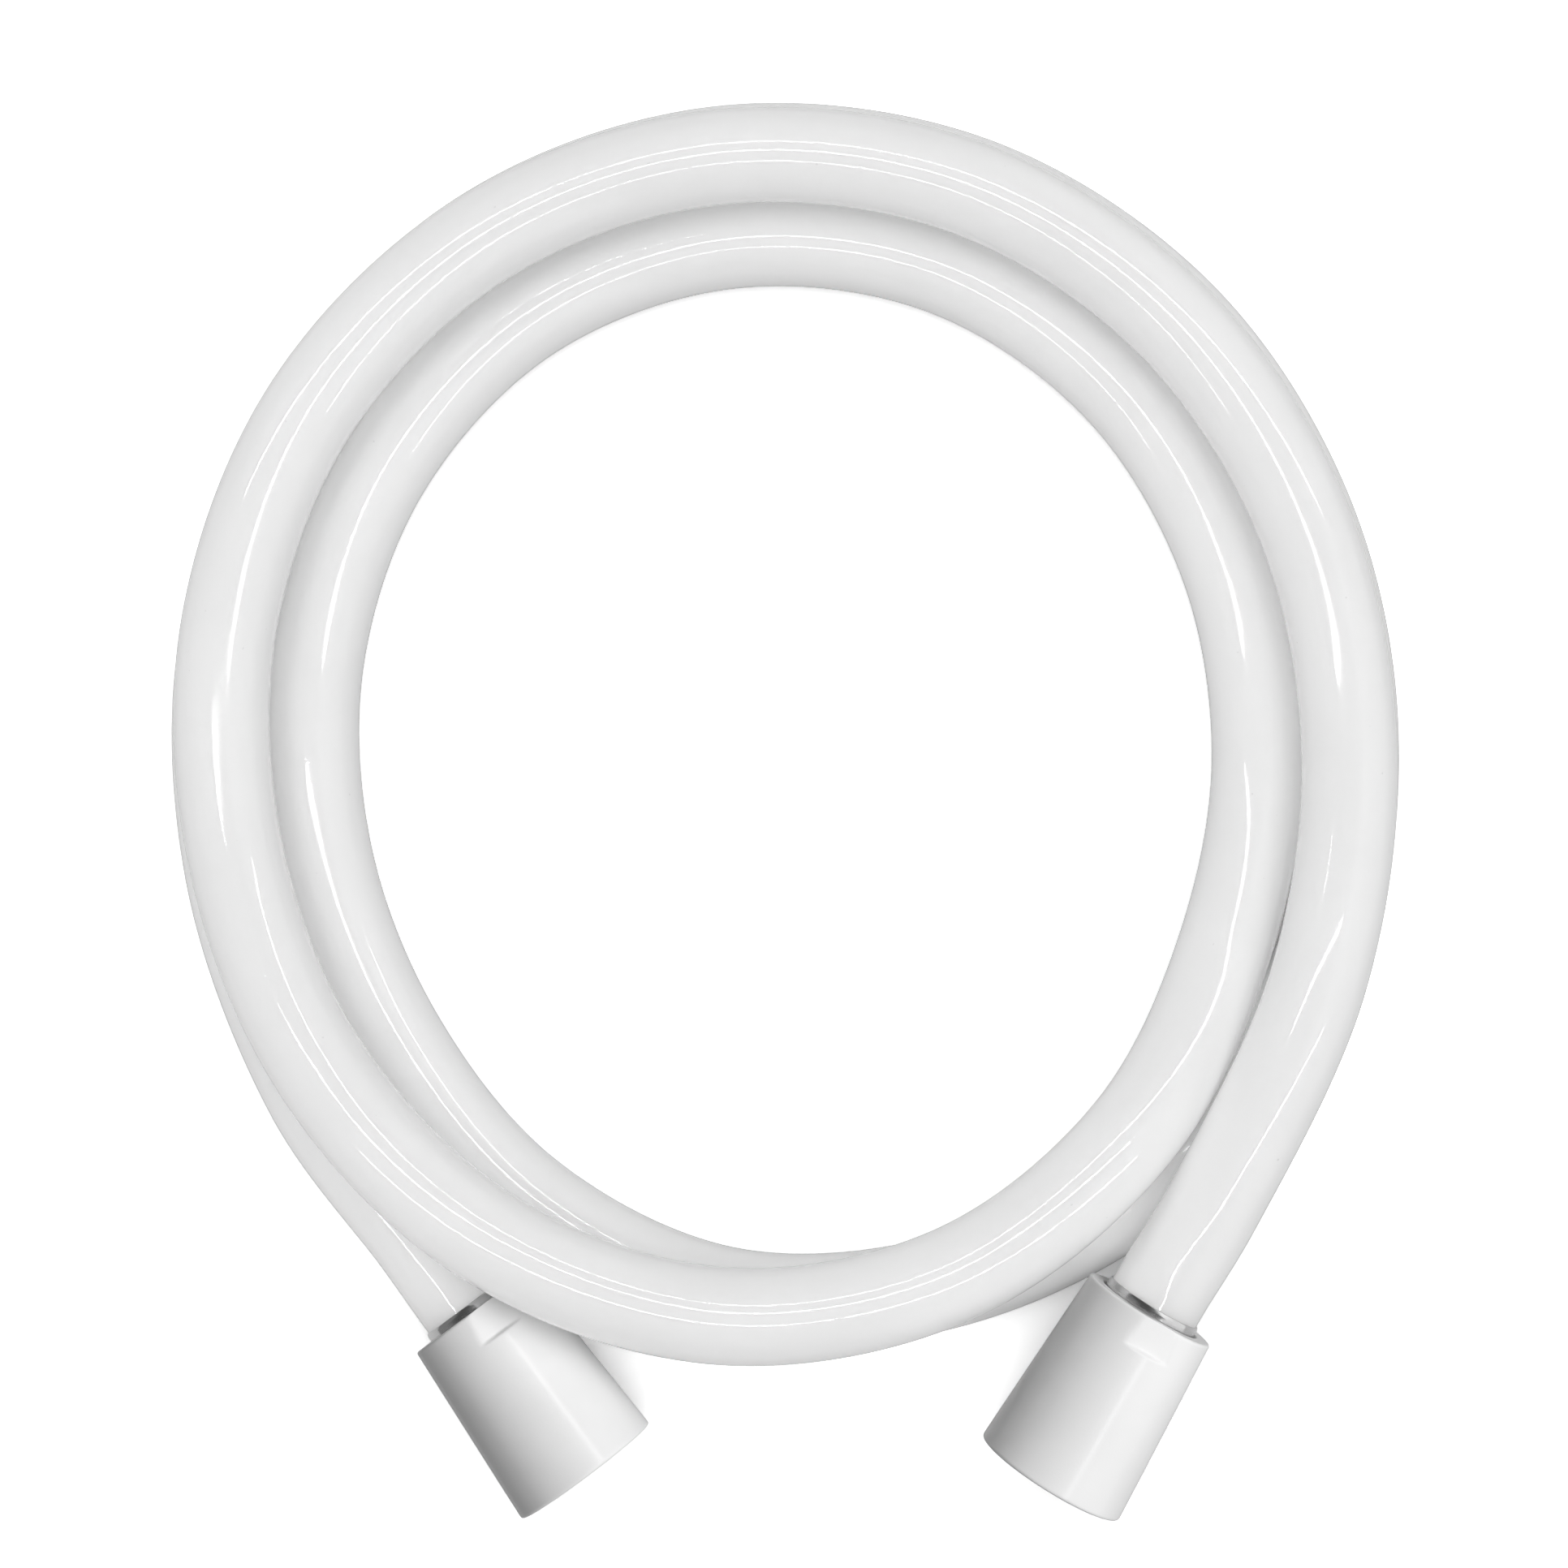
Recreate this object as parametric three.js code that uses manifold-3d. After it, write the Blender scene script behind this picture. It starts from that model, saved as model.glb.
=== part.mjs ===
import * as THREE from 'three';
import { mergeVertices } from 'three/addons/utils/BufferGeometryUtils.js';
import Module from 'manifold-3d';

// Flexible shower hose lying in two and a half flat turns, with a conical swivel nut on each end.
// Millimetres, +Z up, the floor at z = 0. Distances along a fitting are measured from the nut's mouth.

// Hose
const HOSE_OUTSIDE_DIAMETER = 14.5;
const HOSE_BORE_DIAMETER = 9;
const HOSE_SIDES = 12;
const HOSE_STEPS = 80;
const HOSE_START = 15;

// Coil: one row of radius and height every step of the clock, falling from the first angle
const COIL_CENTRE = [-4.2, 98.6];
const FIRST_ROW_ANGLE = 216;
const ROW_STEP_ANGLE = 24;
const ROWS = [
  [90.1, 10.3], [88.4, 7.6], [89.9, 7.35], [92.9, 7.35], [96.0, 7.35],
  [97.3, 7.35], [96.6, 7.35], [94.1, 7.35], [91.0, 7.35], [89.3, 7.35],
  [89.7, 7.35], [87.7, 7.35], [85.8, 7.35], [84.3, 7.35], [79.6, 7.35],
  [74.8, 7.35], [73.5, 7.35], [75.0, 7.35], [78.0, 7.35], [81.1, 7.35],
  [82.4, 7.35], [81.8, 7.35], [79.2, 7.35], [76.1, 7.4], [74.4, 8.0],
  [74.6, 12.5], [78.9, 20.4], [83.7, 22.6], [86.3, 25.0], [86.1, 27.4],
  [85.2, 24.4], [85.0, 22.0], [86.9, 22.0], [89.6, 22.0], [91.6, 22.0],
  [92.2, 22.0], [91.3, 22.0], [89.1, 22.0], [86.9, 22.0], [86.2, 22.0],
  [88.2, 24.0],
];

// Where each fitting lies: mouth centre in plan, lift of the mouth's rim off the floor, direction from
// the mouth toward the hose as an angle from +X, how far that direction climbs, how far the hose goes
// straight on beyond the ferrule, and how far the nut's spanner flats are turned from straight up
const END_A = { mouth: [-34.4, -11.67], lift: 0, heading: 126.2, climb: 0, straight: 12.6, flatTurn: 18 };
const END_B = { mouth: [36.2, -12.27], lift: 2.6, heading: 59.4, climb: 6, straight: 3.5, flatTurn: 7.5 };
const END_B_LEAD = 17;
const END_B_LEAD_RISE = 1;

// Swivel nut with a female G1/2 thread, drawn as its minor diameter
const NUT_LENGTH = 29.8;
const NUT_MOUTH_DIAMETER = 24;
const NUT_NECK_DIAMETER = 20.8;
const NUT_MOUTH_EDGE = 0.4;
const NUT_NECK_EDGE = 0.3;
const NUT_SHOULDER_AT = 14.4;
const THREAD_MINOR_DIAMETER = 18.631;
const THREAD_ENTRY_WIDENING = 2.77;
const THREAD_ENTRY_DEPTH = 1.2;
const NUT_SEGMENTS = 48;

// Spanner flats on the neck end of the nut
const FLAT_LENGTH = 5;
const FLAT_DEPTH = 0.42;
const CUTTER_OVERRUN = 2;

// Crimped ferrule over the hose
const FERRULE_TO_HOSE_CLEARANCE = 0.1;
const FERRULE_WALL = 0.3;
const FERRULE_START = 14.6;
const FERRULE_END = 31.1;
const FERRULE_SEGMENTS = 36;

// Room round the ferrule for the nut to turn
const NUT_TO_FERRULE_CLEARANCE = 0.35;

// Barbed insert that holds the hose and carries the nut; its collar seats on the nut's shoulder
const COLLAR_TO_NUT_CLEARANCE = 0.2155;
const COLLAR_TO_SHOULDER_GAP = 0.3;
const COLLAR_THICKNESS = 2;
const COLLAR_EDGE = 0.3;
const INSERT_BORE_DIAMETER = 6.5;
const BARB_TO_HOSE_CLEARANCE = 0.15;
const BARB_HEIGHT = 0.3;
const STEM_END = 30.6;
const STEM_NOSE = 1;
const BARB_COUNT = 4;
const BARB_PITCH = 3.6;
const BARB_FIRST_AT = 15.4;
const INSERT_SEGMENTS = 32;

// Sealing washer against the collar
const WASHER_TO_NUT_CLEARANCE = 0.2155;
const WASHER_TO_COLLAR_GAP = 0.3;
const WASHER_THICKNESS = 2;
const WASHER_BORE_DIAMETER = 10;
const WASHER_EDGE = 0.2;
const WASHER_SEGMENTS = 36;

// Sizes that follow from the ones above
const FERRULE_BORE_DIAMETER = HOSE_OUTSIDE_DIAMETER + 2 * FERRULE_TO_HOSE_CLEARANCE;
const FERRULE_OUTSIDE_DIAMETER = FERRULE_BORE_DIAMETER + 2 * FERRULE_WALL;
const NUT_NECK_BORE_DIAMETER = FERRULE_OUTSIDE_DIAMETER + 2 * NUT_TO_FERRULE_CLEARANCE;
const THREAD_ENTRY_DIAMETER = THREAD_MINOR_DIAMETER + THREAD_ENTRY_WIDENING;
const COLLAR_DIAMETER = THREAD_MINOR_DIAMETER - 2 * COLLAR_TO_NUT_CLEARANCE;
const COLLAR_END = NUT_SHOULDER_AT - COLLAR_TO_SHOULDER_GAP;
const COLLAR_START = COLLAR_END - COLLAR_THICKNESS;
const STEM_CREST_DIAMETER = HOSE_BORE_DIAMETER - 2 * BARB_TO_HOSE_CLEARANCE;
const STEM_ROOT_DIAMETER = STEM_CREST_DIAMETER - 2 * BARB_HEIGHT;
const WASHER_DIAMETER = THREAD_MINOR_DIAMETER - 2 * WASHER_TO_NUT_CLEARANCE;
const WASHER_END = COLLAR_START - WASHER_TO_COLLAR_GAP;
const WASHER_START = WASHER_END - WASHER_THICKNESS;

const wasm = await Module();
wasm.setup();

const radians = THREE.MathUtils.degToRad;

function material(name, colour, metalness, roughness) {
  const made = new THREE.MeshStandardMaterial({ color: colour, metalness, roughness });
  made.name = name;
  return made;
}

// Unit vector from the mouth toward the hose
function endDirection(end) {
  const flat = Math.cos(radians(end.climb));
  return new THREE.Vector3(
    Math.cos(radians(end.heading)) * flat,
    Math.sin(radians(end.heading)) * flat,
    Math.sin(radians(end.climb)),
  );
}

// Centre of the mouth, its rim on the floor or lifted off it
function mouthCentre(end) {
  const height = (NUT_MOUTH_DIAMETER / 2) * Math.cos(radians(end.climb)) + end.lift;
  return new THREE.Vector3(end.mouth[0], end.mouth[1], height);
}

function pointAlong(end, distance) {
  return mouthCentre(end).addScaledVector(endDirection(end), distance);
}

// Moves a shape made about +Y from the origin onto the fitting: its +X to the right side, its +Z up
function placeOnEnd(geometry, end) {
  const along = endDirection(end);
  const side = new THREE.Vector3().crossVectors(along, new THREE.Vector3(0, 0, 1)).normalize();
  const up = new THREE.Vector3().crossVectors(side, along);
  const place = new THREE.Matrix4().makeBasis(side, along, up).setPosition(mouthCentre(end));
  return geometry.applyMatrix4(place);
}

// Solid of revolution from pairs of diameter and distance along the axis, bore first
function turned(profile, segments) {
  const points = profile.map(([diameter, along]) => new THREE.Vector2(diameter / 2, along));
  points.push(points[0].clone());
  points.reverse();
  return new THREE.LatheGeometry(points, segments);
}

function weld(geometry) {
  const bare = geometry.clone();
  bare.deleteAttribute('normal');
  bare.deleteAttribute('uv');
  return mergeVertices(bare, 1e-4);
}

function toManifold(geometry) {
  const welded = weld(geometry);
  return new wasm.Manifold(new wasm.Mesh({
    numProp: 3,
    vertProperties: new Float32Array(welded.attributes.position.array),
    triVerts: new Uint32Array(welded.index.array),
  }));
}

function fromManifold(solid) {
  const mesh = solid.getMesh();
  const geometry = new THREE.BufferGeometry();
  geometry.setAttribute('position', new THREE.BufferAttribute(new Float32Array(mesh.vertProperties), 3));
  geometry.setIndex(new THREE.BufferAttribute(new Uint32Array(mesh.triVerts), 1));
  geometry.computeVertexNormals();
  return geometry;
}

function nutGeometry(end) {
  const body = turned([
    [THREAD_ENTRY_DIAMETER, 0],
    [THREAD_MINOR_DIAMETER, THREAD_ENTRY_DEPTH],
    [THREAD_MINOR_DIAMETER, NUT_SHOULDER_AT],
    [NUT_NECK_BORE_DIAMETER, NUT_SHOULDER_AT],
    [NUT_NECK_BORE_DIAMETER, NUT_LENGTH],
    [NUT_NECK_DIAMETER - 2 * NUT_NECK_EDGE, NUT_LENGTH],
    [NUT_NECK_DIAMETER, NUT_LENGTH - NUT_NECK_EDGE],
    [NUT_MOUTH_DIAMETER, NUT_MOUTH_EDGE],
    [NUT_MOUTH_DIAMETER - 2 * NUT_MOUTH_EDGE, 0],
  ], NUT_SEGMENTS);
  let solid = toManifold(body);
  const cutterLength = FLAT_LENGTH + CUTTER_OVERRUN;
  const cutterHeight = FLAT_DEPTH + CUTTER_OVERRUN;
  for (const side of [0, 180]) {
    const cutter = new THREE.BoxGeometry(NUT_MOUTH_DIAMETER, cutterLength, cutterHeight);
    const middle = NUT_NECK_DIAMETER / 2 - FLAT_DEPTH + cutterHeight / 2;
    cutter.translate(0, NUT_LENGTH - FLAT_LENGTH + cutterLength / 2, middle);
    cutter.rotateY(radians(end.flatTurn + side));
    solid = solid.subtract(toManifold(cutter));
  }
  return placeOnEnd(fromManifold(solid), end);
}

function ferruleGeometry(end) {
  return placeOnEnd(turned([
    [FERRULE_BORE_DIAMETER, FERRULE_START],
    [FERRULE_BORE_DIAMETER, FERRULE_END],
    [FERRULE_OUTSIDE_DIAMETER, FERRULE_END],
    [FERRULE_OUTSIDE_DIAMETER, FERRULE_START],
  ], FERRULE_SEGMENTS), end);
}

function insertGeometry(end) {
  const profile = [
    [INSERT_BORE_DIAMETER, COLLAR_START],
    [INSERT_BORE_DIAMETER, STEM_END],
    [STEM_ROOT_DIAMETER - STEM_NOSE, STEM_END],
  ];
  for (let barb = BARB_COUNT - 1; barb >= 0; barb -= 1) {
    const crestAt = BARB_FIRST_AT + barb * BARB_PITCH;
    profile.push([STEM_ROOT_DIAMETER, crestAt + BARB_PITCH]);
    profile.push([STEM_CREST_DIAMETER, crestAt]);
  }
  profile.push(
    [STEM_ROOT_DIAMETER, BARB_FIRST_AT],
    [STEM_ROOT_DIAMETER, COLLAR_END],
    [COLLAR_DIAMETER - COLLAR_EDGE, COLLAR_END],
    [COLLAR_DIAMETER, COLLAR_END - COLLAR_EDGE],
    [COLLAR_DIAMETER, COLLAR_START + COLLAR_EDGE],
    [COLLAR_DIAMETER - COLLAR_EDGE, COLLAR_START],
  );
  return placeOnEnd(turned(profile, INSERT_SEGMENTS), end);
}

function washerGeometry(end) {
  return placeOnEnd(turned([
    [WASHER_BORE_DIAMETER, WASHER_START],
    [WASHER_BORE_DIAMETER, WASHER_END],
    [WASHER_DIAMETER - WASHER_EDGE, WASHER_END],
    [WASHER_DIAMETER, WASHER_END - WASHER_EDGE],
    [WASHER_DIAMETER, WASHER_START + WASHER_EDGE],
    [WASHER_DIAMETER - WASHER_EDGE, WASHER_START],
  ], WASHER_SEGMENTS), end);
}

// Centre line of the hose: straight out of fitting A, round the coil, straight into fitting B
function hoseRoute() {
  const points = [
    pointAlong(END_A, HOSE_START),
    pointAlong(END_A, FERRULE_END),
    pointAlong(END_A, FERRULE_END + END_A.straight),
  ];
  ROWS.forEach(([radius, height], row) => {
    const angle = radians(FIRST_ROW_ANGLE - row * ROW_STEP_ANGLE);
    points.push(new THREE.Vector3(
      COIL_CENTRE[0] + radius * Math.cos(angle),
      COIL_CENTRE[1] + radius * Math.sin(angle),
      height,
    ));
  });
  const lead = pointAlong(END_B, FERRULE_END + END_B_LEAD);
  lead.z += END_B_LEAD_RISE;
  points.push(
    lead,
    pointAlong(END_B, FERRULE_END + END_B.straight),
    pointAlong(END_B, FERRULE_END),
    pointAlong(END_B, HOSE_START),
  );
  return new THREE.CatmullRomCurve3(points);
}

function ringPoints(radius) {
  return Array.from({ length: HOSE_SIDES }, (_, side) => {
    const angle = ((side + 0.5) / HOSE_SIDES) * 2 * Math.PI;
    return new THREE.Vector2(radius * Math.cos(angle), radius * Math.sin(angle));
  });
}

function hoseGeometry() {
  const section = new THREE.Shape(ringPoints(HOSE_OUTSIDE_DIAMETER / 2));
  const boreCorner = HOSE_BORE_DIAMETER / 2 / Math.cos(Math.PI / HOSE_SIDES);
  section.holes.push(new THREE.Path(ringPoints(boreCorner)));
  const route = hoseRoute();
  route.arcLengthDivisions = HOSE_STEPS * 40;
  return new THREE.ExtrudeGeometry(section, { steps: HOSE_STEPS, bevelEnabled: false, extrudePath: route });
}

const hoseGrey = material('hose_grey', 0xdfe1e0, 0, 0.35);
const nutWhite = material('nut_white', 0xe4e4e3, 0, 0.2);
const steel = material('steel', 0xc4c5c6, 1, 0.15);
const brass = material('brass', 0xb9964a, 1, 0.35);
const washerRubber = material('washer_rubber', 0x1c1c1c, 0, 0.7);

const part = new THREE.Group();
part.name = 'shower_hose';

function add(name, geometry, look) {
  const mesh = new THREE.Mesh(geometry, look);
  mesh.name = name;
  part.add(mesh);
}

add('hose', hoseGeometry(), hoseGrey);
add('nut_a', nutGeometry(END_A), nutWhite);
add('nut_b', nutGeometry(END_B), nutWhite);
add('ferrule_a', ferruleGeometry(END_A), steel);
add('ferrule_b', ferruleGeometry(END_B), steel);
add('insert_a', insertGeometry(END_A), brass);
add('insert_b', insertGeometry(END_B), brass);
add('washer_a', washerGeometry(END_A), washerRubber);
add('washer_b', washerGeometry(END_B), washerRubber);

export default part;
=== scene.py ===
"""A smooth white shower hose lying in two and a half turns, seen from above, with its two swivel nuts.

Lengths are worked out in millimetres along each piece and turned to metres where the mesh is made.
"""

import bpy
import numpy as np
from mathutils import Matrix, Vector


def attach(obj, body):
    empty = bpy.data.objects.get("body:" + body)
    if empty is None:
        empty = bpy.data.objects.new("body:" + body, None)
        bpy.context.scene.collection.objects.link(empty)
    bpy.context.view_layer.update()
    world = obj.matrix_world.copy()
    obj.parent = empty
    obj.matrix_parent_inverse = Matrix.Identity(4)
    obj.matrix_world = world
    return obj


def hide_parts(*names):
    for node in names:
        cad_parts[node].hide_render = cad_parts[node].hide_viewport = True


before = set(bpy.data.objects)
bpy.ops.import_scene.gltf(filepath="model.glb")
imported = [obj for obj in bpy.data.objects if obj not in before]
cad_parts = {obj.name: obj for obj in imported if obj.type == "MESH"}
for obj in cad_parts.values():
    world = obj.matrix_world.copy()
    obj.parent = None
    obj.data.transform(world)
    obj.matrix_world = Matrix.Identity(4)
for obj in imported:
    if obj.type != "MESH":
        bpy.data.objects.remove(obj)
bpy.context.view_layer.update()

MM = 0.001

# ---- the route of the hose, as the part's source has it

HOSE_RADIUS = 7.25
HOSE_BORE_RADIUS = 4.5
HOSE_START = 15.0
FERRULE_START = 14.6
FERRULE_END = 31.1
COIL_CENTRE = (-4.2, 98.6)
FIRST_ROW_ANGLE = 216
ROW_STEP_ANGLE = 24
ROWS = np.array([
    (90.1, 10.3), (88.4, 7.6), (89.9, 7.35), (92.9, 7.35), (96.0, 7.35),
    (97.3, 7.35), (96.6, 7.35), (94.1, 7.35), (91.0, 7.35), (89.3, 7.35),
    (89.7, 7.35), (87.7, 7.35), (85.8, 7.35), (84.3, 7.35), (79.6, 7.35),
    (74.8, 7.35), (73.5, 7.35), (75.0, 7.35), (78.0, 7.35), (81.1, 7.35),
    (82.4, 7.35), (81.8, 7.35), (79.2, 7.35), (76.1, 7.4), (74.4, 8.0),
    (74.6, 12.5), (78.9, 20.4), (83.7, 22.6), (86.3, 25.0), (86.1, 27.4),
    (85.2, 24.4), (85.0, 22.0), (86.9, 22.0), (89.6, 22.0), (91.6, 22.0),
    (92.2, 22.0), (91.3, 22.0), (89.1, 22.0), (86.9, 22.0), (86.2, 22.0),
    (88.2, 24.0),
])
NUT_MOUTH_RADIUS = 12.0
END_A = {
    "mouth": (-34.4, -11.67), "lift": 0.0, "heading": 126.2, "climb": 0.0,
    "straight": 12.6, "flat_turn": 18.0,
}
END_B = {
    "mouth": (36.2, -12.27), "lift": 2.6, "heading": 59.4, "climb": 6.0,
    "straight": 3.5, "flat_turn": 7.5,
}
END_B_LEAD = 17.0
END_B_LEAD_RISE = 1.0


def axes_of(end):
    """Mouth centre, and the fitting's own axes: along it toward the hose, level to the side, and up."""
    heading, climb = np.radians(end["heading"]), np.radians(end["climb"])
    level = np.cos(climb)
    along = np.array([np.cos(heading) * level, np.sin(heading) * level, np.sin(climb)])
    side = np.cross(along, (0, 0, 1))
    side /= np.linalg.norm(side)
    mouth = np.array([*end["mouth"], NUT_MOUTH_RADIUS * level + end["lift"]])
    return mouth, along, side, np.cross(side, along)


def point_along(end, distance):
    mouth, along, _, _ = axes_of(end)
    return mouth + along * distance


def route_points():
    """Straight out of fitting A, round the coil row by row, and straight into fitting B."""
    angle = np.radians(FIRST_ROW_ANGLE - ROW_STEP_ANGLE * np.arange(len(ROWS)))
    rows = np.stack([
        COIL_CENTRE[0] + ROWS[:, 0] * np.cos(angle),
        COIL_CENTRE[1] + ROWS[:, 0] * np.sin(angle),
        ROWS[:, 1],
    ], 1)
    ends = {}
    for letter, end in (("a", END_A), ("b", END_B)):
        distances = (HOSE_START, FERRULE_END, FERRULE_END + end["straight"])
        ends[letter] = [point_along(end, distance) for distance in distances]
    lead = point_along(END_B, FERRULE_END + END_B_LEAD) + (0, 0, END_B_LEAD_RISE)
    return np.vstack([ends["a"], rows, lead, ends["b"][::-1]])


def smooth_curve(points, per_span=60):
    """Centripetal Catmull-Rom: each span is the cubic through its ends whose end slopes come from the
    neighbouring points, weighed by the square roots of the gaps between them."""
    ends = np.vstack([2 * points[0] - points[1], points, 2 * points[-1] - points[-2]])
    p0, p1, p2, p3 = ends[:-3], ends[1:-2], ends[2:-1], ends[3:]
    gap = np.sqrt(np.linalg.norm(np.diff(ends, axis=0), axis=1))[:, None]
    d0, d1, d2 = gap[:-2], gap[1:-1], gap[2:]
    slope_in = ((p1 - p0) / d0 - (p2 - p0) / (d0 + d1) + (p2 - p1) / d1) * d1
    slope_out = ((p2 - p1) / d1 - (p3 - p1) / (d1 + d2) + (p3 - p2) / d2) * d1
    t = np.linspace(0, 1, per_span, endpoint=False)[None, :, None]
    a, b, u, v = (x[:, None] for x in (p1, p2, slope_in, slope_out))
    spans = a + u * t + (3 * b - 3 * a - 2 * u - v) * t**2 + (2 * a - 2 * b + u + v) * t**3
    return np.vstack([spans.reshape(-1, 3), points[-1]])


def evenly(line, count):
    """The same line as count points at equal distances, and those distances."""
    run = np.r_[0, np.cumsum(np.linalg.norm(np.diff(line, axis=0), axis=1))]
    at = np.linspace(0, run[-1], count)
    return np.stack([np.interp(at, run, line[:, k]) for k in range(3)], 1), at


# ---- meshes from grids

MOST_OF_AN_EDGE = 0.45
SHARPEST = 0.01
UV_ROUND = 20.0


def mesh_from_grid(name, grid, loop_u=True, loop_v=False, uv=None, smooth=True):
    """A piece from a grid of points in millimetres, v by u. A looped direction joins its last line to
    its first. uv gives where each line of the grid lies across and along the surface."""
    rows, cols = grid.shape[:2]
    v0 = np.arange(rows if loop_v else rows - 1)[:, None]
    u0 = np.arange(cols if loop_u else cols - 1)[None, :]
    v1, u1 = (v0 + 1) % rows, (u0 + 1) % cols
    corners = (v0 * cols + u0, v0 * cols + u1, v1 * cols + u1, v1 * cols + u0)
    faces = np.stack(np.broadcast_arrays(*corners), -1)
    mesh = bpy.data.meshes.new(name)
    mesh.from_pydata((grid.reshape(-1, 3) * MM).tolist(), [], faces.reshape(-1, 4).tolist())
    if uv is not None:
        across, along = uv
        corner_u = np.stack(np.broadcast_arrays(u0, u0 + 1, u0 + 1, u0), -1)
        corner_v = np.stack(np.broadcast_arrays(v0, v0, v0 + 1, v0 + 1), -1)
        places = np.stack(np.broadcast_arrays(across[corner_u], along[corner_v]), -1)
        layer = mesh.uv_layers.new(name="surface")
        layer.data.foreach_set("uv", places.reshape(-1).astype(np.float32))
    mesh.polygons.foreach_set("use_smooth", [smooth] * len(mesh.polygons))
    mesh.update()
    piece = bpy.data.objects.new(name, mesh)
    bpy.context.scene.collection.objects.link(piece)
    return piece


def rounded_profile(corners, steps=5):
    """A closed run of (distance along, radius, rounding) corners, each turned into a small arc that
    starts and stops that far from it. A rounding of 0 keeps the corner sharp."""
    points = np.array([corner[:2] for corner in corners], float)
    out = []
    for i, (corner, (_, _, rounding)) in enumerate(zip(points, corners)):
        before, after = points[i - 1] - corner, points[(i + 1) % len(points)] - corner
        to_before, to_after = np.linalg.norm(before), np.linalg.norm(after)
        reach = max(min(rounding, MOST_OF_AN_EDGE * to_before, MOST_OF_AN_EDGE * to_after), SHARPEST)
        start = corner + before / to_before * reach
        stop = corner + after / to_after * reach
        t = np.linspace(0, 1, steps)[:, None]
        out.append((1 - t) ** 2 * start + 2 * t * (1 - t) * corner + t**2 * stop)
    return np.vstack(out)


def fill_in(profile, longest):
    """Adds points to a closed profile so that no two neighbours are further apart than longest."""
    out = []
    for a, b in zip(profile, np.roll(profile, -1, 0)):
        count = max(1, int(np.ceil(np.linalg.norm(b - a) / longest)))
        out.append(a + (b - a) * (np.arange(count) / count)[:, None])
    return np.vstack(out)


def turned_piece(name, end, profile, sides, shape=None):
    """A profile of (along, radius) spun about the fitting's axis. shape may change the radius: it is
    given the distance along, the radius, the angle from straight up and the turn of the flats."""
    mouth, along, side, up = axes_of(end)
    angle = np.linspace(0, 2 * np.pi, sides, endpoint=False)[None, :]
    s, r = profile[:, :1], np.broadcast_to(profile[:, 1:], (len(profile), sides))
    if shape is not None:
        r = shape(s, r, angle, end["flat_turn"])
    grid = (mouth + s[..., None] * along
            + (r * np.sin(angle))[..., None] * side
            + (r * np.cos(angle))[..., None] * up)
    around = np.linspace(0, 1, sides + 1) * UV_ROUND
    closed = np.vstack([profile, profile[:1]])
    run = np.r_[0, np.cumsum(np.linalg.norm(np.diff(closed, axis=0), axis=1))]
    return mesh_from_grid(name, grid, loop_u=True, loop_v=True, uv=(around, run))


# ---- the camera and the hose come first

CAMERA_AT = (-4.2, 51.05, 498.1)
CAMERA_LEAN = 5.0
PICTURE_SIDE = 1932
FOCAL_LENGTH_IN_PIXELS = 3866
SENSOR_WIDTH = 36


def place_camera():
    """Half a metre above the middle of the coil, leaning back by five degrees."""
    data = bpy.data.cameras.new("camera")
    data.sensor_width = SENSOR_WIDTH
    data.lens = FOCAL_LENGTH_IN_PIXELS / PICTURE_SIDE * SENSOR_WIDTH
    data.clip_start, data.clip_end = 0.05, 20
    camera = bpy.data.objects.new("camera", data)
    camera.location = Vector(CAMERA_AT) * MM
    camera.rotation_euler = (np.radians(CAMERA_LEAN), 0, 0)
    bpy.context.scene.collection.objects.link(camera)
    bpy.context.scene.camera = camera


HOSE_RINGS = 780
HOSE_SIDES = 44


def make_hose():
    """A wall carried along the route: each ring is a circle about the route in the plane square to it,
    its zero on the side away from the floor. The outer skin and the bore meet at the two ends."""
    path, at = evenly(smooth_curve(route_points()), HOSE_RINGS)
    forward = np.gradient(path, at, axis=0)
    forward /= np.linalg.norm(forward, axis=1)[:, None]
    side = np.cross(forward, (0, 0, 1))
    side /= np.linalg.norm(side, axis=1)[:, None]
    up = np.cross(side, forward)
    angle = np.linspace(0, 2 * np.pi, HOSE_SIDES, endpoint=False)
    rise, reach = np.cos(angle)[None, :, None], np.sin(angle)[None, :, None]
    circle = rise * up[:, None] + reach * side[:, None]
    outer = path[:, None] + circle * HOSE_RADIUS
    inner = path[:, None] + circle * HOSE_BORE_RADIUS
    grid = np.concatenate([outer, inner[::-1]])
    around = np.linspace(0, 1, HOSE_SIDES + 1) * 2 * np.pi * HOSE_RADIUS
    run = np.concatenate([at, at[::-1], at[:1]])
    hose = mesh_from_grid("hose_skin", grid, loop_u=True, loop_v=True, uv=(around, run))
    return hose, path


place_camera()
hose, hose_path = make_hose()

# ---- the fittings

NUT_LENGTH = 29.8
NUT_NECK_RADIUS = 10.4
NUT_NECK_BORE_RADIUS = 8.0
NUT_SHOULDER_AT = 14.4
THREAD_MINOR_RADIUS = 9.3155
THREAD_DEPTH = 1.1
THREAD_PITCH = 1.814
THREAD_ENTRY_RADIUS = 10.7
THREAD_ENTRY_LENGTH = 1.2
THREAD_FROM = 1.0
THREAD_TO = 9.4
GROOVE_STEEPNESS = 4.4
GROOVE_FLOOR = 1.35
FLAT_LENGTH = 5.0
FLAT_DEPTH = 0.42
LEDGE_WIDTH = 0.4
FERRULE_OUTER_RADIUS = 7.65
FERRULE_INNER_RADIUS = 7.35
INSERT_START = 12.1
INSERT_BORE_RADIUS = 3.25
COLLAR_END = 14.1
COLLAR_RADIUS = 9.1
STEM_RADIUS = 4.05
STEM_END = 30.6
BARB_RADIUS = 4.35
BARBS_START = 15.4
BARB_PITCH = 3.6
BARB_COUNT = 4
WASHER_START = 9.8
WASHER_END = 11.8
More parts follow.
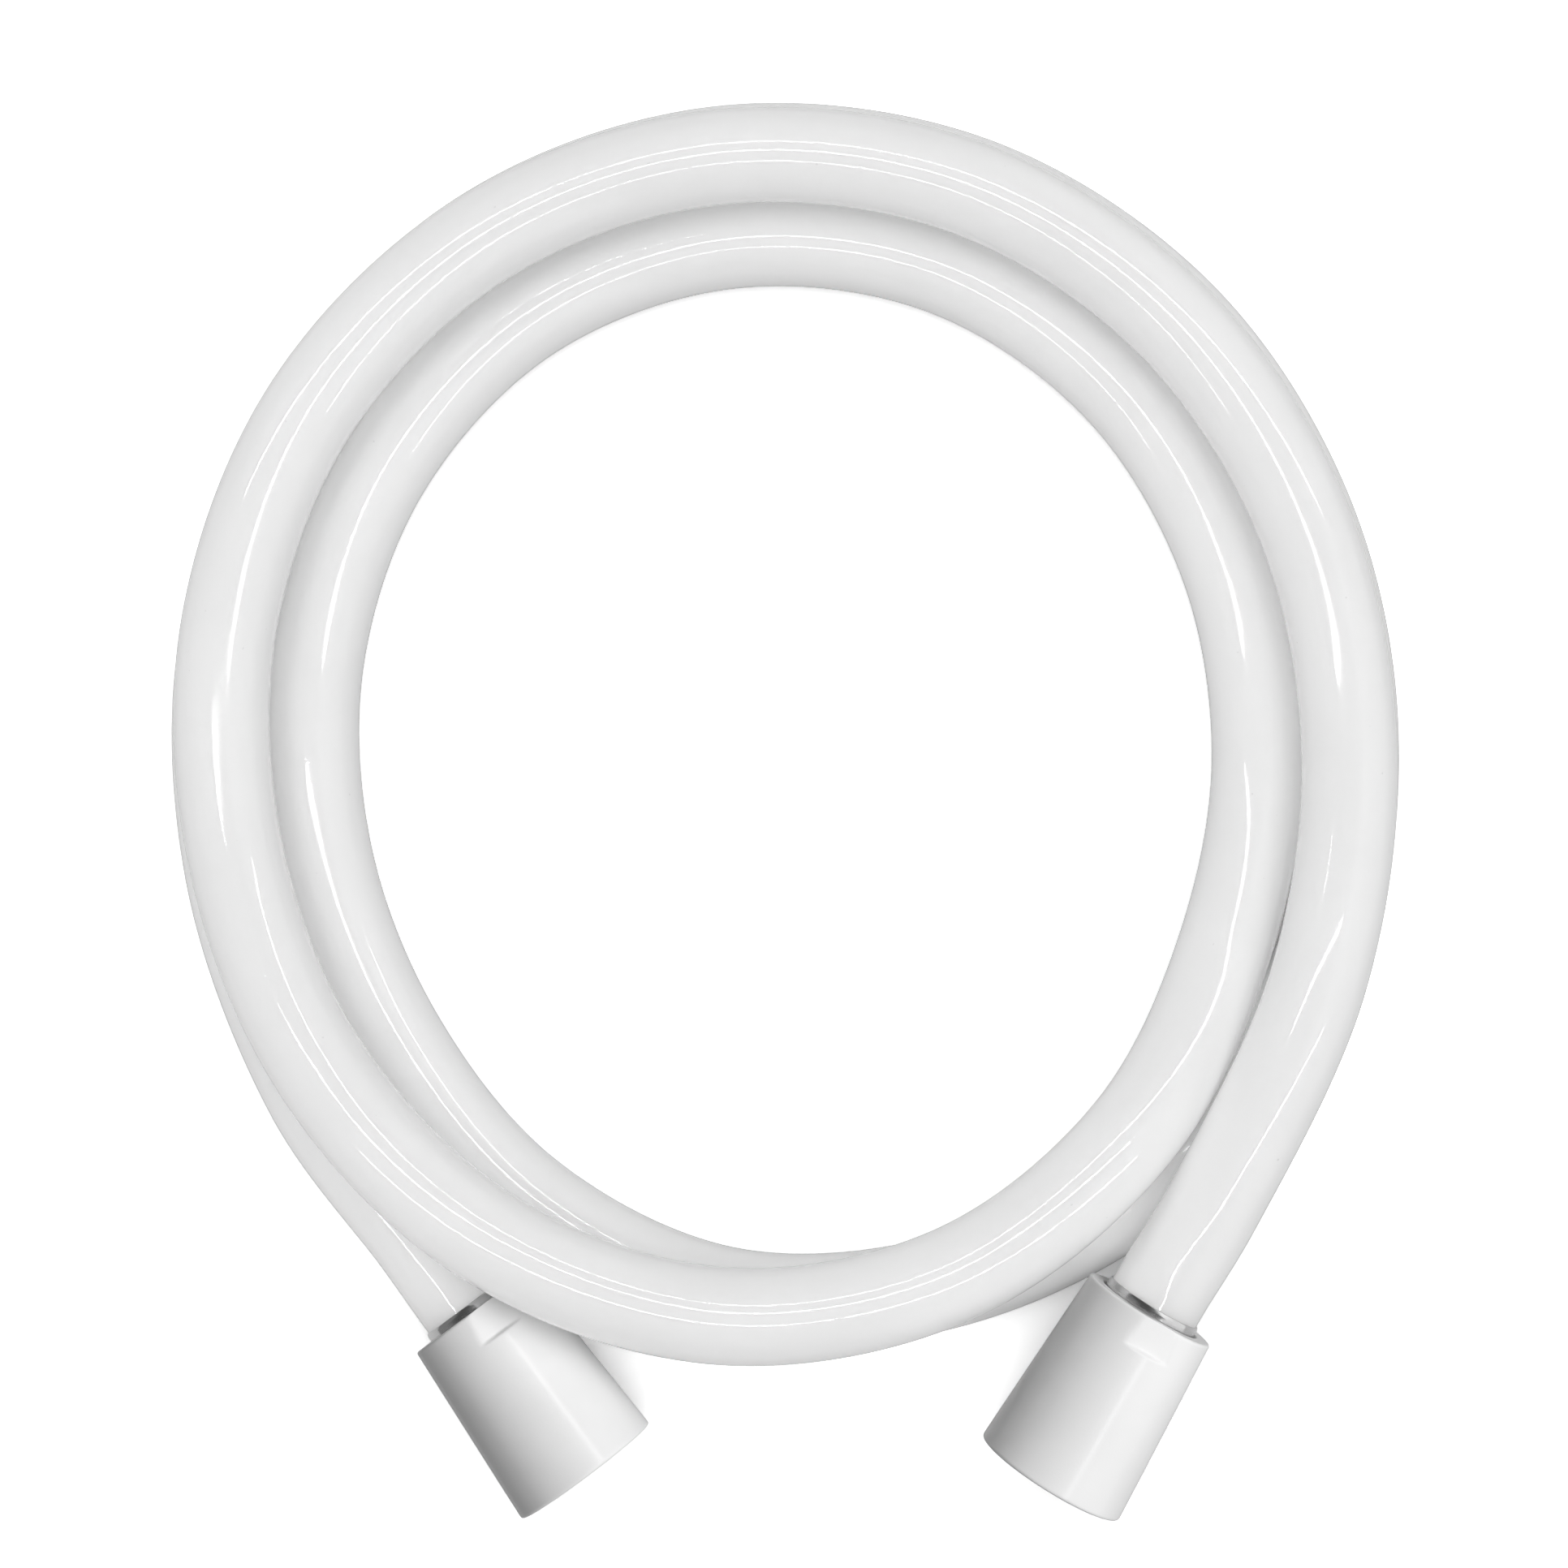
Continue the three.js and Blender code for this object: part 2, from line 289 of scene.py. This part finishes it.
WASHER_BORE_RADIUS = 5.0


def smoothstep(x):
    x = np.clip(x, 0, 1)
    return x * x * (3 - 2 * x)


def nut_surface(s, r, angle, turned):
    """Outside, the two spanner flats cut the cone down to a plane near the neck, with a soft ledge.
    Inside, a right-hand groove of the thread's pitch widens the bore."""
    cone = NUT_MOUTH_RADIUS + (NUT_NECK_RADIUS - NUT_MOUTH_RADIUS) * s / NUT_LENGTH
    plane = NUT_NECK_RADIUS - FLAT_DEPTH
    outside = r > cone - 0.6
    share = smoothstep((s - (NUT_LENGTH - FLAT_LENGTH - LEDGE_WIDTH / 2)) / LEDGE_WIDTH)
    for turn in (turned, turned + 180):
        facing = np.cos(angle - np.radians(turn))
        flat = np.where(facing > 0.5, plane / np.maximum(facing, 0.5), 99.0)
        cut = np.clip(r - flat, 0, None)
        r = np.where(outside, r - cut * share, r)
    wave = (s / THREAD_PITCH - angle / (2 * np.pi)) % 1
    groove = smoothstep(GROOVE_FLOOR - np.abs(wave - 0.5) * GROOVE_STEEPNESS)
    span = smoothstep((s - THREAD_FROM) / 1.2) * smoothstep((THREAD_TO - s) / 0.8)
    bore = np.abs(r - THREAD_MINOR_RADIUS) < 0.02
    return np.where(bore, r + groove * span * THREAD_DEPTH, r)


def make_nut(name, end):
    """A cone with a threaded bore, a shoulder inside and a narrower bore through the neck."""
    corners = [
        (0.0, THREAD_ENTRY_RADIUS, 0.25), (THREAD_ENTRY_LENGTH, THREAD_MINOR_RADIUS, 0.0),
        (NUT_SHOULDER_AT, THREAD_MINOR_RADIUS, 0.2), (NUT_SHOULDER_AT, NUT_NECK_BORE_RADIUS, 0.2),
        (NUT_LENGTH, NUT_NECK_BORE_RADIUS, 0.3), (NUT_LENGTH, NUT_NECK_RADIUS, 0.45),
        (0.0, NUT_MOUTH_RADIUS, 0.6),
    ]
    profile = fill_in(rounded_profile(corners, steps=7), 0.22)
    return turned_piece(name, end, profile[::-1], 144, nut_surface)


def make_ferrule(name, end):
    """A thin sleeve whose free end is rolled inward onto the hose."""
    corners = [
        (FERRULE_START, FERRULE_INNER_RADIUS, 0.05), (FERRULE_END - 0.5, FERRULE_INNER_RADIUS, 0.2),
        (FERRULE_END - 0.15, 7.27, 0.1), (FERRULE_END, 7.3, 0.1), (FERRULE_END - 0.05, 7.5, 0.2),
        (FERRULE_END - 0.45, 7.62, 0.3), (FERRULE_START, FERRULE_OUTER_RADIUS, 0.1),
    ]
    return turned_piece(name, end, fill_in(rounded_profile(corners), 1.0)[::-1], 112)


def make_insert(name, end):
    """A collar that seats on the nut's shoulder and a stem whose barbs grip the inside of the hose."""
    corners = [
        (INSERT_START, INSERT_BORE_RADIUS, 0.3), (STEM_END, INSERT_BORE_RADIUS, 0.1),
        (STEM_END, INSERT_BORE_RADIUS + 0.3, 0.2),
    ]
    for barb in range(BARB_COUNT - 1, -1, -1):
        crest = BARBS_START + barb * BARB_PITCH
        corners += [(crest + BARB_PITCH, STEM_RADIUS, 0.1), (crest + 0.1, BARB_RADIUS, 0.1)]
    corners += [
        (BARBS_START, STEM_RADIUS, 0.1), (COLLAR_END, STEM_RADIUS, 0.3),
        (COLLAR_END, COLLAR_RADIUS, 0.3), (INSERT_START, COLLAR_RADIUS, 0.3),
    ]
    return turned_piece(name, end, fill_in(rounded_profile(corners), 1.2)[::-1], 96)


def make_washer(name, end):
    """A flat ring as wide as the insert's collar, with softer edges outside than inside."""
    corners = [
        (WASHER_START, WASHER_BORE_RADIUS, 0.2), (WASHER_END, WASHER_BORE_RADIUS, 0.2),
        (WASHER_END, COLLAR_RADIUS, 0.35), (WASHER_START, COLLAR_RADIUS, 0.35),
    ]
    return turned_piece(name, end, fill_in(rounded_profile(corners), 0.7)[::-1], 96)


fittings = {}
for letter, end in (("a", END_A), ("b", END_B)):
    fittings["nut", letter] = make_nut(f"swivel_nut_{letter}", end)
    fittings["ferrule", letter] = make_ferrule(f"crimped_ferrule_{letter}", end)
    fittings["insert", letter] = make_insert(f"barbed_insert_{letter}", end)
    fittings["washer", letter] = make_washer(f"sealing_washer_{letter}", end)

# ---- shaders

class Wire:
    """A shader socket that can be written into sums and products."""

    def __init__(self, finish, socket):
        self.finish, self.socket = finish, socket

    def __add__(self, other):
        return self.finish.math("ADD", self, other)

    def __sub__(self, other):
        return self.finish.math("SUBTRACT", self, other)

    def __rsub__(self, other):
        return self.finish.math("SUBTRACT", other, self)

    def __mul__(self, other):
        return self.finish.math("MULTIPLY", self, other)

    __radd__, __rmul__ = __add__, __mul__


class Finish:
    """A material or world under construction: its tree and its one way of making nodes."""

    def __init__(self, owner):
        owner.use_nodes = True
        self.owner, self.tree = owner, owner.node_tree
        self.tree.nodes.clear()

    def node(self, kind, settings=None, **values):
        """A node of that type with its settings set first, then its sockets given values or links."""
        made = self.tree.nodes.new("ShaderNode" + kind)
        for key, value in (settings or {}).items():
            if key == "stops":
                ramp = made.color_ramp
                while len(ramp.elements) < len(value):
                    ramp.elements.new(0.5)
                for element, (at, shade) in zip(ramp.elements, value):
                    element.position, element.color = at, (shade, shade, shade, 1)
            else:
                setattr(made, key, value)
        for key, value in values.items():
            at = int(key[1:]) if key[0] == "_" else key.replace("_", " ")
            self.feed(made.inputs[at], value)
        return made

    def feed(self, socket, value):
        if isinstance(value, Wire):
            self.tree.links.new(value.socket, socket)
        else:
            socket.default_value = value

    def out(self, made, name=0):
        return Wire(self, made.outputs[name])

    def math(self, operation, a, b):
        return self.out(self.node("Math", {"operation": operation}, _0=a, _1=b))

    def noise(self, place, scale, detail=2.0, rough=0.5):
        made = self.node("TexNoise", Vector=place, Scale=scale, Detail=detail, Roughness=rough)
        return self.out(made)

    def band(self, value, low, high):
        """0 below low, 1 above high, smooth between."""
        settings = {"interpolation_type": "SMOOTHSTEP"}
        made = self.node("MapRange", settings, Value=value, From_Min=low, From_Max=high)
        return self.out(made)

    def blend(self, share, a, b):
        made = self.node("Mix", {"data_type": "RGBA"})
        for at, value in ((0, share), (6, a), (7, b)):
            self.feed(made.inputs[at], value)
        return Wire(self, made.outputs[2])

    def bump(self, height, strength, distance):
        return self.out(self.node("Bump", Height=height, Strength=strength, Distance=distance))

    def close(self, shader, kind="Material"):
        end = self.node("Output" + kind)
        self.tree.links.new(shader.outputs[0], end.inputs[0])
        return self.owner


def new_finish(name):
    return Finish(bpy.data.materials.new(name))


def colour(level):
    return (level, level, level, 1)


def hose_finish():
    """Pearl white plastic, a little cloudy, its skin just uneven enough to break up a reflection."""
    f = new_finish("pearl_white_plastic")
    place = f.out(f.node("TexCoord"), "Object")
    skin = f.out(f.node("TexCoord"), "UV")
    cloud = f.band(f.noise(place, 26.0, 3.0), 0.38, 0.62)
    tint = f.blend(cloud, colour(0.85), colour(0.87))
    speck = f.band(f.noise(place, 900.0, 1.0), 0.80, 0.84)
    tint = f.blend(speck * 0.25, tint, colour(0.45))
    uneven = f.noise(skin, 2.8, 1.0) * 0.6 + f.noise(skin, 0.9, 1.0) * 0.45
    shine = f.node("BsdfPrincipled", Base_Color=tint, Roughness=cloud * 0.02 + 0.035,
                   Normal=f.bump(uneven, 0.055, 0.0001), IOR=1.5, Subsurface_Weight=0.8,
                   Subsurface_Radius=(1.0, 1.0, 1.0), Subsurface_Scale=0.004)
    return f.close(shine)


def nut_finish():
    """Glossy white moulded plastic with a faint flow pattern under a clear skin."""
    f = new_finish("glossy_white_plastic")
    place = f.out(f.node("TexCoord"), "Object")
    flow = f.band(f.noise(place, 60.0, 3.0), 0.35, 0.65)
    fine = f.noise(place, 2500.0, 1.0)
    tint = f.blend(flow, colour(0.80), colour(0.83))
    normal = f.bump(fine, 0.06, 0.0001)
    shine = f.node("BsdfPrincipled", Base_Color=tint,
                   Roughness=flow * 0.04 + 0.2, Normal=normal, IOR=1.5)
    return f.close(shine)


def steel_finish():
    """Bright rolled steel with hair lines that run round the sleeve."""
    f = new_finish("bright_rolled_steel")
    place = f.out(f.node("TexCoord"), "UV")
    stretched = f.out(f.node("Mapping", Vector=place, Scale=(0.4, 9.0, 1.0)))
    lines = f.noise(stretched, 3.0, 2.0)
    tint = f.blend(f.band(lines, 0.3, 0.7), colour(0.58), colour(0.66))
    normal = f.bump(lines, 0.15, 0.00005)
    shine = f.node("BsdfPrincipled", Base_Color=tint, Metallic=1.0, Roughness=lines * 0.08 + 0.08,
                   Normal=normal)
    return f.close(shine)


def brass_finish():
    """Turned brass with the tool's rings on it."""
    f = new_finish("turned_brass")
    place = f.out(f.node("TexCoord"), "UV")
    rings = f.noise(f.out(f.node("Mapping", Vector=place, Scale=(0.02, 6.0, 1.0))), 3.0, 2.0)
    dull = f.band(f.noise(f.out(f.node("TexCoord"), "Object"), 300.0, 3.0), 0.4, 0.7)
    tint = f.blend(dull, (0.62, 0.44, 0.18, 1), (0.50, 0.35, 0.15, 1))
    normal = f.bump(rings, 0.3, 0.0001)
    shine = f.node("BsdfPrincipled", Base_Color=tint, Metallic=1.0, Roughness=dull * 0.1 + 0.25,
                   Normal=normal)
    return f.close(shine)


def rubber_finish():
    """Matt black rubber with a fine moulded grain and a trace of dust."""
    f = new_finish("matt_black_rubber")
    place = f.out(f.node("TexCoord"), "Object")
    dust = f.band(f.noise(place, 500.0, 3.0), 0.5, 0.75)
    tint = f.blend(dust, colour(0.018), colour(0.04))
    normal = f.bump(f.noise(place, 4000.0, 1.0), 0.3, 0.0001)
    shine = f.node("BsdfPrincipled", Base_Color=tint, Roughness=dust * 0.1 + 0.6, Normal=normal)
    return f.close(shine)


def dress(piece, finish, body, nodes):
    piece.data.materials.append(finish)
    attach(piece, body)
    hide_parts(*nodes)


dress(hose, hose_finish(), "hose_body", ["hose"])
looks = {
    "nut": nut_finish(), "ferrule": steel_finish(), "insert": brass_finish(), "washer": rubber_finish(),
}
for (kind, letter), piece in fittings.items():
    body = f"nut_{letter}_body" if kind in ("nut", "washer") else "hose_body"
    dress(piece, looks[kind], body, [f"{kind}_{letter}"])

(point_along(END_A, FERRULE_END) * MM).tolist()

# ---- floor, sky and lamps

TABLE_HALF = 480.0
TABLE_AT = (-4.2, 98.0, -0.05)
FLOOR_SEEN = 2.3
FLOOR_MIRRORED = 1.0
FLOOR_BOUNCE = 0.38
SKY_LEVEL = 0.08


def light_paths(f):
    """The camera's rays, and those of mirrors and glass, each 1 or 0."""
    path = f.node("LightPath")
    bent = f.math("MAXIMUM", f.out(path, "Is Glossy Ray"), f.out(path, "Is Transmission Ray"))
    return f.out(path, "Is Camera Ray"), bent


def make_floor():
    """A white table top. Looked at, it is brighter than it lights things, so it comes out white."""
    near, far = (-TABLE_HALF, TABLE_HALF)
    grid = np.array([[(near, near, 0), (far, near, 0)], [(near, far, 0), (far, far, 0)]])
    floor = mesh_from_grid("table_top", grid + TABLE_AT, loop_u=False, smooth=False)
    f = new_finish("white_table")
    camera, bent = light_paths(f)
    tint = f.blend(bent, colour(FLOOR_BOUNCE), colour(FLOOR_MIRRORED))
    tint = f.blend(camera, tint, colour(FLOOR_SEEN))
    f.close(f.node("BsdfDiffuse", Color=tint))
    floor.data.materials.append(f.owner)
    return floor


def make_sky():
    """A plain dome. The camera sees it white; mirrors see a white wall on the right, and dark screens
    on the left and round the camera, as in a studio."""
    world = bpy.data.worlds.new("studio")
    bpy.context.scene.world = world
    f = Finish(world)
    x = f.out(f.node("SeparateXYZ", Vector=f.out(f.node("TexCoord"), "Generated")), "X")
    wall = f.band(x, 0.22, 0.42)
    screen = f.band(x, -0.45, -0.75)
    camera, bent = light_paths(f)
    mirrored = 0.10 + wall * 0.95 + screen * 0.16
    level = f.math("MAXIMUM", bent * mirrored + (1.0 - bent) * SKY_LEVEL, camera)
    f.close(f.node("Background", Color=(1, 1, 1, 1), Strength=level), "World")


def lamp(name, place, size, power, only, toward=None, turned=0, use="colour", stopped_by=None):
    """A flat lamp that faces a point, or straight down and turned, and lights only the pieces named.
    One for colour isn't mirrored in glossy skins; one for sheen shows there and adds nothing to their
    colour. Only the pieces in stopped_by, or all of them, throw a shadow in its light."""
    data = bpy.data.lights.new(name, "AREA")
    data.shape, data.size, data.size_y = "RECTANGLE", size[0] * MM, size[1] * MM
    data.energy = power
    made = bpy.data.objects.new(name, data)
    made.location = Vector(place) * MM
    made.rotation_euler = (0, 0, np.radians(turned))
    if toward is not None:
        made.rotation_euler = (Vector(toward) - Vector(place)).to_track_quat("-Z", "Y").to_euler()
    made.visible_diffuse, made.visible_glossy = use == "colour", use == "sheen"
    bpy.context.scene.collection.objects.link(made)
    lit = bpy.data.collections.new(name + "_lights")
    for piece in only:
        lit.objects.link(piece)
    made.light_linking.receiver_collection = lit
    if stopped_by is not None:
        screens = bpy.data.collections.new(name + "_is_stopped_by")
        for piece in stopped_by:
            screens.objects.link(piece)
        made.light_linking.blocker_collection = screens


table = make_floor()
make_sky()
nuts = [fittings["nut", "a"], fittings["nut", "b"]]
metal = [piece for (kind, _), piece in fittings.items() if kind != "nut"]
lamp("table_box", (-4, 98, 900), (1100, 1100), 7.0, [table])
lamp("overhead_box", (-4, 98, 900), (1100, 1100), 2.0, [hose])
lamp("overhead_fill", (-4, 98, 900), (1100, 1100), 4.8, [hose], stopped_by=[table])
for side, (x, y) in enumerate(((-900, 98), (892, 98), (-4, -800), (-4, 1000))):
    lamp(f"side_box_{side}", (x, y, 330), (900, 420), 1.4, [hose], toward=(-4, 98, 0))
    lamp(f"side_fill_{side}", (x, y, 330), (900, 420), 1.3, [hose], toward=(-4, 98, 0), stopped_by=[table])
lamp("front_strip", (-4, -148, 580), (1080, 15), 1.1, [hose], use="sheen")
lamp("middle_strip", (-4, 140, 590), (420, 15), 0.44, [hose], use="sheen")
lamp("back_strip", (-4, 354, 590), (900, 15), 0.9, [hose], use="sheen")
lamp("right_box", (340, 30, 620), (500, 600), 5.6, nuts + metal, toward=(20, 0, 0))
lamp("right_panel", (340, 30, 620), (240, 600), 3.2, metal, toward=(20, 0, 0), use="sheen")
lamp("right_strip_a", (278, 205, 580), (30, 480), 0.45, nuts[:1], turned=36.2, use="sheen")
lamp("right_strip_b", (202, -270, 580), (30, 480), 0.35, nuts[1:], turned=-30.6, use="sheen")

scene = bpy.context.scene
scene.view_settings.view_transform = "Standard"
